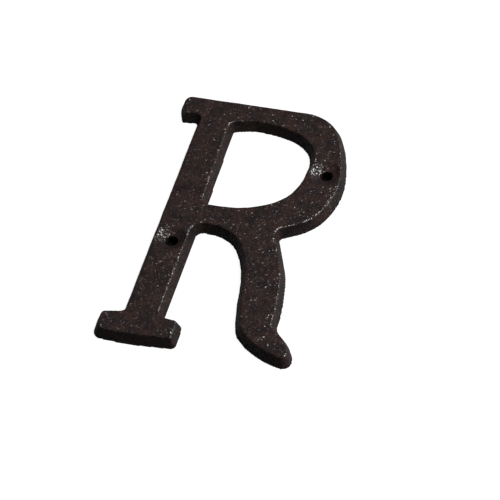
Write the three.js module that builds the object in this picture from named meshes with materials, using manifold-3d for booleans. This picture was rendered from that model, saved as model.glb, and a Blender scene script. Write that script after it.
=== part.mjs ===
// A cast-iron house letter: a serif capital R that is screwed to a door, gate, fence or wall.
// Millimetres. The letter lies on its flat back: +X runs in the reading direction, +Y runs up the
// letter, and +Z comes out of its face. The origin is on the back, at the middle of the 45 x 75 box.

import * as THREE from "three";
import { mergeVertices } from "three/addons/utils/BufferGeometryUtils.js";
import Module from "manifold-3d";

const WIDTH = 45;
const HEIGHT = 75;
const THICKNESS = 2.6;

// The side walls lean in from the back, so that the casting draws out of its sand mould, and they
// meet the face over a small rounded edge.
const DRAFT = THREE.MathUtils.degToRad(23);
const EDGE_RADIUS = 0.4;
const EDGE_STEPS = 3;

// The largest turn between two neighbouring outline points, and the smallest corner that is left
// where a tight corner runs up the drafted wall.
const ARC_STEP = THREE.MathUtils.degToRad(10);
const TIGHTEST_RADIUS = 0.1;

// Screw holes: a plain bore, a little longer up the letter than across it, and above it a wide
// dished seat for the screw head. The mould's dish sits slightly off the bore, by SEAT_SHIFT at the
// face.
const BORE_RADIUS = 1.4;
const BORE_STRETCH = 1.3;
const SEAT_RADIUS = 3.7;
const SEAT_DEPTH = 1.0;
const SEAT_SHIFT = [-0.4, 0.1];
const HOLE_SIDES = 32;
const CUTTER_MARGIN = 1;
const SCREW_HOLES = [
  [9.95, 30.05], // in the stem
  [38.75, 56.2], // in the bowl
];

// The foot of the wall, as corners [x, y, radius] measured from the letter's lower left. Each corner
// is an arc of its own radius. The metal lies to the left of the direction of travel.
const TOP_SERIF = [
  [0, 75, 2.6],
  [0.1, 70.9, 6],
  [1.45, 67.5, 0.5],
  [5.05, 67.9, 0.6],
];
const BOTTOM_SERIF = [
  [5.05, 8.2, 0.6],
  [-0.06, 7.2, 1.9],
  [0.25, 0.4, 2.1],
  [8.5, -0.12, 30],
  [19.15, 0.6, 1.2],
  [19.05, 7.6, 1.8],
  [14.4, 8.25, 0.7],
];
const ARCH_AND_LEG = [
  [14.4, 35.1, 1.7],
  [20.2, 34.8, 9],
  [23.6, 32.5, 7.5],
  [26, 28.8, 20],
  [28, 22.5, 35],
  [29.1, 13.2, 35],
  [30.9, 7, 6],
  [34.1, 3.8, 12],
  [39, 0.95, 14],
  [45, -0.5, 2],
  [45, 3.3, 4],
  [43.1, 6.7, 8],
  [39.4, 10.3, 3],
  [39.2, 16.2, 30],
  [37.6, 25.5, 20],
];
const BOWL = [
  [33, 36.6, 0.9],
  [39.3, 40.25, 11],
  [41.9, 44.6, 17],
  [43.5, 49.9, 19],
  [43.5, 56, 25],
  [41.1, 65.8, 30],
  [37.5, 72.3, 9],
  [32.3, 75, 11],
];
const COUNTER = [
  [14.05, 66.9, 0.9],
  [18.9, 68.1, 7],
  [24, 67.7, 20],
  [28.9, 66.4, 9],
  [32, 64.2, 6.5],
  [33.7, 61.3, 7],
  [33.7, 57.1, 25],
  [32.9, 51.8, 15],
  [31.35, 48.4, 7],
  [28.9, 45.95, 9],
  [24, 43.55, 14],
  [20, 42.85, 18],
  [14.5, 42.85, 0.9],
];

/** The left-hand normal of the edge from one corner to the next. */
function edgeNormal([fromX, fromY], [toX, toY]) {
  return new THREE.Vector2(fromY - toY, toX - fromX).normalize();
}

/** The outline's points, moved by inset into the metal. Every inset gives the same number. */
function outlinePoints(corners, inset) {
  return corners.flatMap(([x, y, radius], i) => {
    const before = edgeNormal(corners.at(i - 1), [x, y]);
    const after = edgeNormal([x, y], corners[(i + 1) % corners.length]);
    const turn = Math.atan2(before.cross(after), before.dot(after));
    const side = Math.sign(turn);
    const arc = side > 0 ? Math.max(radius - inset, TIGHTEST_RADIUS) : radius + inset;
    const mitre = before.clone().add(after).divideScalar(1 + before.dot(after));
    const centre = new THREE.Vector2(x, y).addScaledVector(mitre, inset + side * arc);
    const start = before.multiplyScalar(-side * arc);
    const steps = Math.ceil(Math.abs(turn) / ARC_STEP);
    return Array.from({ length: steps + 1 }, (_, k) =>
      start.clone().rotateAround(new THREE.Vector2(), (turn * k) / steps).add(centre),
    );
  });
}

/** The wall's section from the back to the face, as [inset, height] pairs. */
function wallSection() {
  const wallTop = THICKNESS - EDGE_RADIUS * (1 - Math.sin(DRAFT));
  const faceInset = wallTop * Math.tan(DRAFT) + EDGE_RADIUS * Math.cos(DRAFT);
  const section = [[0, 0]];
  for (let k = 0; k <= EDGE_STEPS; k++) {
    const angle = THREE.MathUtils.lerp(DRAFT, Math.PI / 2, k / EDGE_STEPS);
    section.push([
      faceInset - EDGE_RADIUS * Math.cos(angle),
      THICKNESS - EDGE_RADIUS + EDGE_RADIUS * Math.sin(angle),
    ]);
  }
  return section;
}

/** A flat-backed casting: every outline rises along the wall section, and both flats are capped. */
function draftedCasting(outlines) {
  const section = wallSection();
  const vertices = [];
  const triangles = [];
  const firstRings = outlines.map((corners) => {
    const first = vertices.length / 3;
    const rings = section.map(([inset, z]) => {
      const points = outlinePoints(corners, inset);
      points.forEach((p) => vertices.push(p.x - WIDTH / 2, p.y - HEIGHT / 2, z));
      return points;
    });
    const count = rings[0].length;
    for (let level = 0; level < section.length - 1; level++) {
      for (let k = 0; k < count; k++) {
        const a = first + level * count + k;
        const b = first + level * count + ((k + 1) % count);
        triangles.push(a, b, b + count, a, b + count, a + count);
      }
    }
    return { first, count, rings };
  });
  for (const level of [0, section.length - 1]) {
    const [edge, ...holes] = firstRings.map((outline) => outline.rings[level]);
    const index = firstRings.flatMap(({ first, count }) =>
      Array.from({ length: count }, (_, k) => first + level * count + k),
    );
    for (const face of THREE.ShapeUtils.triangulateShape(edge, holes)) {
      const [a, b, c] = face.map((k) => index[k]);
      triangles.push(...(level === 0 ? [a, c, b] : [a, b, c]));
    }
  }
  const geometry = new THREE.BufferGeometry();
  geometry.setAttribute("position", new THREE.Float32BufferAttribute(vertices, 3));
  geometry.setIndex(triangles);
  return geometry;
}

/** The tool that drills one screw hole and dishes its shifted seat. */
function screwHoleCutter([x, y]) {
  const seatFoot = THICKNESS - SEAT_DEPTH;
  const slope = (SEAT_RADIUS - BORE_RADIUS) / SEAT_DEPTH;
  const profile = [
    new THREE.Vector2(0, -CUTTER_MARGIN),
    new THREE.Vector2(BORE_RADIUS, -CUTTER_MARGIN),
    new THREE.Vector2(BORE_RADIUS, seatFoot),
    new THREE.Vector2(SEAT_RADIUS + slope * CUTTER_MARGIN, THICKNESS + CUTTER_MARGIN),
    new THREE.Vector2(0, THICKNESS + CUTTER_MARGIN),
  ];
  const cutter = new THREE.LatheGeometry(profile, HOLE_SIDES).rotateX(Math.PI / 2);
  const points = cutter.attributes.position;
  for (let i = 0; i < points.count; i++) {
    const rise = Math.max(points.getZ(i) - seatFoot, 0) / SEAT_DEPTH;
    const stretch = rise === 0 ? BORE_STRETCH : 1;
    points.setX(i, points.getX(i) + rise * SEAT_SHIFT[0]);
    points.setY(i, points.getY(i) * stretch + rise * SEAT_SHIFT[1]);
  }
  return cutter.translate(x - WIDTH / 2, y - HEIGHT / 2, 0);
}

const manifold = await Module();
manifold.setup();

/** A closed three.js geometry as a solid that can be cut. */
function toSolid(geometry) {
  const bare = geometry.clone();
  bare.deleteAttribute("normal");
  bare.deleteAttribute("uv");
  const merged = mergeVertices(bare);
  return new manifold.Manifold(
    new manifold.Mesh({
      numProp: 3,
      vertProperties: Float32Array.from(merged.attributes.position.array),
      triVerts: Uint32Array.from(merged.index.array),
    }),
  );
}

/** A cut solid as a three.js geometry again. */
function toGeometry(solid) {
  const mesh = solid.getMesh();
  const geometry = new THREE.BufferGeometry();
  geometry.setAttribute("position", new THREE.BufferAttribute(mesh.vertProperties, 3));
  geometry.setIndex(new THREE.BufferAttribute(mesh.triVerts, 1));
  geometry.computeVertexNormals();
  return geometry;
}

/** The whole letter: one casting, with its counter open and its two screw holes cut. */
function castLetter() {
  const outside = [...TOP_SERIF, ...BOTTOM_SERIF, ...ARCH_AND_LEG, ...BOWL];
  const blank = toSolid(draftedCasting([outside, COUNTER]));
  const drilled = SCREW_HOLES.reduce(
    (solid, hole) => solid.subtract(toSolid(screwHoleCutter(hole))),
    blank,
  );
  const finish = new THREE.MeshStandardMaterial({ color: "#3a2e2a", roughness: 0.5, metalness: 0.6 });
  const mesh = new THREE.Mesh(toGeometry(drilled), finish);
  mesh.name = "cast_letter";
  return mesh;
}

const houseLetter = new THREE.Group();
houseLetter.add(castLetter());

export default houseLetter;
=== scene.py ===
"""A cast-iron house letter, a serif capital R, lying on its flat back on a pale floor.

Metres. The frame is the letter's own: +X in the reading direction, +Y up the letter,
+Z out of its face.
"""

import math

import bpy
from mathutils import Matrix, Vector


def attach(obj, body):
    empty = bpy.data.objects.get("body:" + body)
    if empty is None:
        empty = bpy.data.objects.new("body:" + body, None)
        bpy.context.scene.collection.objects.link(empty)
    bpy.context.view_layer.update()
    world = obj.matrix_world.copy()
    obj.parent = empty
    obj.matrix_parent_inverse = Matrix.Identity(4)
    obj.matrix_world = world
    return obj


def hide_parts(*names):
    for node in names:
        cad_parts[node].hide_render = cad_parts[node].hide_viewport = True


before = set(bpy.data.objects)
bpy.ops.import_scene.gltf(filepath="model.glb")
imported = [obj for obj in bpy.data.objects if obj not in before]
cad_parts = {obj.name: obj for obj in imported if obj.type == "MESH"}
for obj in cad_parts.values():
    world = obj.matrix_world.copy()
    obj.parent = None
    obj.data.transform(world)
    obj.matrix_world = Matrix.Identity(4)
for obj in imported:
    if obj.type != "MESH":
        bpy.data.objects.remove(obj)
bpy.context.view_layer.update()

MM = 0.001

# Shape of the casting's surface.
MERGE_DISTANCE = 0.002 * MM    # points of the CAD mesh closer than this are one point
SKIN_GRID = 0.18 * MM          # edge length of the mesh that carries the cast skin
EDGE_SOFTENING = 1             # rounds of smoothing, which round the arrises as sand and lacquer do
SWELL_SIZE, SWELL_DEPTH = 7 * MM, 0.10 * MM      # slow unevenness of a hand-made mould
# Print of the moulding sand. Its grains of about 0.3 mm are too fine to show as shape, so
# they are drawn three times as coarse.
GRAIN_SIZE, GRAIN_DEPTH = 0.9 * MM, 0.06 * MM
SKIN_RISE = 0.3 * MM           # height above the flat back over which swells and grain fade in
BACK_FLATNESS = 0.02 * MM      # a face of the flat back lies no further than this from the floor,
BACK_NORMAL_Z = -0.999         # and its normal points down at least this straight

# Patterns of the finish.
BLOTCH_SIZE = 3 * MM           # patches of redder and blacker lacquer
FINE_SIZE, FINE_DEPTH = 0.4 * MM, 0.05 * MM      # unevenness of the lacquer over single grains
GLINT_SIZE = 0.3 * MM          # one grain of moulding sand, a facet with its own lean
GLINT_LEAN = 0.55              # strength of that lean, against a surface normal of 1

# Stage.
FLOOR_SIZE = 4                 # in metres
FLOOR_DROP, DOT_DROP = 0.06 * MM, 0.03 * MM      # how far they lie below the letter's back
DOT_RADIUS = 2.6 * MM
SCREW_HOLES = ((-12.55, -7.45), (16.25, 18.7))   # their axes, in millimetres

# Camera: where it aims on the floor, and how it is turned about that point.
AIM = Vector((4.84, -5.12, 0)) * MM
CAMERA_AZIMUTH = math.radians(19.54)
CAMERA_ELEVATION = math.radians(47.18)
CAMERA_ROLL = math.radians(-5.73)
CAMERA_DISTANCE = 776.9 * MM
SENSOR_WIDTH, LENS = 36, 252                     # in millimetres


def select_only(piece):
    """Deselects everything, then selects and activates one piece."""
    bpy.ops.object.select_all(action="DESELECT")
    piece.select_set(True)
    bpy.context.view_layer.objects.active = piece


def apply_modifier(piece, kind, **settings):
    """Adds one modifier with its settings and applies it."""
    modifier = piece.modifiers.new(kind.lower(), kind)
    for name, value in settings.items():
        setattr(modifier, name, value)
    bpy.ops.object.modifier_apply(modifier=modifier.name)


def clouds(name, size, detail):
    """A noise texture whose largest lumps have that size."""
    texture = bpy.data.textures.new(name, "CLOUDS")
    texture.noise_scale = size
    texture.noise_depth = detail
    texture.noise_basis = "IMPROVED_PERLIN"
    return texture


def copy_of_node(name, new_name):
    """A loose copy of a CAD node, with its doubled points merged, ready to be worked on."""
    select_only(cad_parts[name])
    bpy.ops.object.duplicate()
    piece = bpy.context.object
    piece.name = piece.data.name = new_name
    piece.parent = None
    # Without the node's own marks it counts as a new piece.
    for key in list(piece.keys()):
        del piece[key]
    piece.data.materials.clear()
    bpy.ops.object.mode_set(mode="EDIT")
    bpy.ops.mesh.select_all(action="SELECT")
    bpy.ops.mesh.remove_doubles(threshold=MERGE_DISTANCE)
    bpy.ops.mesh.normals_make_consistent(inside=False)
    bpy.ops.object.mode_set(mode="OBJECT")
    return piece


def height_group(piece, name, low, high):
    """A vertex group that rises from 0 at one height to 1 at another."""
    group = piece.vertex_groups.new(name=name)
    for vertex in piece.data.vertices:
        share = (vertex.co.z - low) / (high - low)
        group.add([vertex.index], min(max(share, 0), 1), "REPLACE")
    return group.name


def plain_back(piece):
    """Replaces the grid on the flat back, which needs only its outline, with plain faces."""
    for face in piece.data.polygons:
        face.select = face.normal.z < BACK_NORMAL_Z and abs(face.center.z) < BACK_FLATNESS
    bpy.ops.object.mode_set(mode="EDIT")
    bpy.ops.mesh.select_mode(type="FACE")
    bpy.ops.mesh.delete(type="FACE")
    bpy.ops.mesh.select_mode(type="EDGE")
    bpy.ops.mesh.select_all(action="DESELECT")
    bpy.ops.mesh.select_non_manifold()
    bpy.ops.mesh.fill(use_beauty=False)
    bpy.ops.mesh.select_all(action="SELECT")
    bpy.ops.mesh.normals_make_consistent(inside=False)
    bpy.ops.object.mode_set(mode="OBJECT")


def make_letter():
    """The casting: the CAD solid with softened arrises, slow swells and a sandy skin."""
    letter = copy_of_node("cast_letter", "cast_iron_letter")
    apply_modifier(letter, "REMESH", mode="VOXEL", voxel_size=SKIN_GRID)
    apply_modifier(letter, "SMOOTH", factor=0.5, iterations=EDGE_SOFTENING)
    skin = height_group(letter, "skin", 0, SKIN_RISE)
    for name, size, depth, detail in (
        ("mould_swell", SWELL_SIZE, SWELL_DEPTH, 1),
        ("sand_grain", GRAIN_SIZE, GRAIN_DEPTH, 2),
    ):
        # Half of the strength goes out of the surface and half into it.
        apply_modifier(
            letter, "DISPLACE", texture=clouds(name, size, detail), texture_coords="LOCAL",
            strength=2 * depth, mid_level=0.5, vertex_group=skin,
        )
    letter.vertex_groups.clear()
    plain_back(letter)
    bpy.ops.object.shade_smooth()
    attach(letter, "root")
    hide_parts("cast_letter")
    return letter


def linear(hex_colour):
    """An sRGB hex colour as linear RGBA."""
    channels = [int(hex_colour[i : i + 2], 16) / 255 for i in (1, 3, 5)]
    return [c / 12.92 if c <= 0.04045 else ((c + 0.055) / 1.055) ** 2.4 for c in channels] + [1]


def add_node(tree, kind, settings=None, first=(), **inputs):
    """Adds a node with its settings. An input is a value, or another node's socket to link from.

    The values in first go to the leading sockets in order, where a name would not tell
    one from the next.
    """
    node = tree.nodes.new(kind)
    for name, value in (settings or {}).items():
        setattr(node, name, value)
    named = {name.replace("_", " "): value for name, value in inputs.items()}
    for key, value in {**dict(enumerate(first)), **named}.items():
        socket = node.inputs[key]
        if isinstance(value, bpy.types.NodeSocket):
            tree.links.new(value, socket)
        else:
            socket.default_value = value
    return node


def new_material(name):
    """An empty node material, with its tree."""
    material = bpy.data.materials.new(name)
    material.use_nodes = True
    material.node_tree.nodes.clear()
    return material, material.node_tree


def lacquered_cast_iron():
    """Sand-cast iron under a thin dark brown lacquer: near black, with sand-grain glints."""
    material, tree = new_material("sand_cast_iron_in_bronze_brown_lacquer")
    place = add_node(tree, "ShaderNodeTexCoord").outputs["Object"]

    # Colour of the lacquer, which wanders between near black and a red brown.
    blotches = add_node(tree, "ShaderNodeTexNoise", Vector=place, Scale=1 / BLOTCH_SIZE, Detail=3)
    colour = add_node(tree, "ShaderNodeValToRGB", Fac=blotches.outputs["Fac"])
    stops = colour.color_ramp.elements
    for stop, shade, position in ((stops[0], "#1f191a", 0.35), (stops[1], "#2d211e", 0.65)):
        stop.color = linear(shade)
        stop.position = position

    # Uneven skin, and on it the facets of single grains, which catch the light as glints.
    fine = add_node(tree, "ShaderNodeTexNoise", Vector=place, Scale=1 / FINE_SIZE, Detail=1)
    bump = add_node(
        tree, "ShaderNodeBump", Height=fine.outputs["Fac"], Strength=1, Distance=FINE_DEPTH
    )
    grains = add_node(tree, "ShaderNodeTexVoronoi", Vector=place, Scale=1 / GLINT_SIZE)
    lean = add_node(
        tree, "ShaderNodeVectorMath", {"operation": "SUBTRACT"},
        first=(grains.outputs["Color"], (0.5, 0.5, 0.5)),
    )
    scaled = add_node(
        tree, "ShaderNodeVectorMath", {"operation": "SCALE"},
        first=(lean.outputs[0],), Scale=GLINT_LEAN,
    )
    tilted = add_node(
        tree, "ShaderNodeVectorMath", {"operation": "ADD"},
        first=(bump.outputs["Normal"], scaled.outputs[0]),
    )
    facet = add_node(
        tree, "ShaderNodeVectorMath", {"operation": "NORMALIZE"}, first=(tilted.outputs[0],)
    )

    shader = add_node(
        tree, "ShaderNodeBsdfPrincipled",
        Base_Color=colour.outputs["Color"], Roughness=0.3, IOR=1.5, Specular_IOR_Level=0.35,
        Normal=facet.outputs[0],
    )
    add_node(tree, "ShaderNodeOutputMaterial", Surface=shader.outputs["BSDF"])
    return material


def floor_card():
    """Matt white card. It shows pale to the camera, and throws little light back up."""
    material, tree = new_material("matt_white_card")
    seen = add_node(tree, "ShaderNodeLightPath").outputs["Is Camera Ray"]
    lit = add_node(tree, "ShaderNodeBsdfDiffuse", Color=linear("#606060")).outputs[0]
    glow = add_node(tree, "ShaderNodeEmission", Color=linear("#ffffff"), Strength=0.95).outputs[0]
    pale = add_node(tree, "ShaderNodeAddShader", first=(lit, glow)).outputs[0]
    mix = add_node(tree, "ShaderNodeMixShader", first=(seen, lit, pale))
    add_node(tree, "ShaderNodeOutputMaterial", Surface=mix.outputs[0])
    return material


def bore_shade_card():
    """Near-black matt card under each bore: painted shade that keeps the bores dark to the bottom.
    """
    material, tree = new_material("painted_bore_shade")
    lit = add_node(tree, "ShaderNodeBsdfDiffuse", Color=linear("#0a0908"))
    add_node(tree, "ShaderNodeOutputMaterial", Surface=lit.outputs[0])
    return material


def make_floor():
    """A plain pale floor, with a near-black dot of painted shade under each screw hole."""
    bpy.ops.object.select_all(action="DESELECT")
    bpy.ops.mesh.primitive_plane_add(size=FLOOR_SIZE, location=(0, 0, -FLOOR_DROP))
    floor = bpy.context.object
    floor.name = "floor"
    floor.data.materials.append(floor_card())
    # Each dot is painted shade: it darkens the floor seen through a bore, where shadow falls.
    for number, (x, y) in enumerate(SCREW_HOLES, 1):
        bpy.ops.mesh.primitive_circle_add(
            vertices=48, radius=DOT_RADIUS, fill_type="NGON", location=(x * MM, y * MM, -DOT_DROP)
        )
        dot = bpy.context.object
        dot.name = f"bore_shade_dot_{number}"
        dot.data.materials.append(bore_shade_card())


def area_light(name, direction, distance, size, watts):
    """A round soft light in that direction from the letter, turned to face it."""
    data = bpy.data.lights.new(name, "AREA")
    data.shape = "DISK"
    data.size = size
    data.energy = watts
    light = bpy.data.objects.new(name, data)
    bpy.context.scene.collection.objects.link(light)
    towards = Vector(direction).normalized()
    light.location = towards * distance
    light.rotation_euler = towards.to_track_quat("Z", "Y").to_euler()


def light_studio():
    """A soft key light high on the right, a weak and low fill from the right, and a dim room."""
    turn = Matrix.Rotation(CAMERA_AZIMUTH, 3, "Z")
    area_light("key_light", turn @ Vector((0.58, 0.05, 0.81)), distance=1.2, size=0.4, watts=22)
    area_light("low_fill", turn @ Vector((0.9, 0.3, 0.2)), distance=1.2, size=0.6, watts=2)
    world = bpy.data.worlds.new("studio")
    world.use_nodes = True
    background = world.node_tree.nodes["Background"].inputs
    background["Color"].default_value = linear("#e8e8e6")
    background["Strength"].default_value = 0.04
    bpy.context.scene.world = world


def place_camera():
    """Looks down at the letter from the front right, slightly tipped."""
    data = bpy.data.cameras.new("camera")
    data.sensor_width = SENSOR_WIDTH
    data.lens = LENS
    camera = bpy.data.objects.new("camera", data)
    bpy.context.scene.collection.objects.link(camera)
    turn = (
        Matrix.Rotation(CAMERA_AZIMUTH, 4, "Z")
        @ Matrix.Rotation(math.pi / 2 - CAMERA_ELEVATION, 4, "X")
        @ Matrix.Rotation(CAMERA_ROLL, 4, "Z")
    )
    back_off = Matrix.Translation((0, 0, CAMERA_DISTANCE))
    camera.matrix_world = Matrix.Translation(AIM) @ turn @ back_off
    bpy.context.scene.camera = camera


place_camera()
letter = make_letter()
letter.data.materials.append(lacquered_cast_iron())
make_floor()
light_studio()
bpy.context.scene.view_settings.view_transform = "Standard"
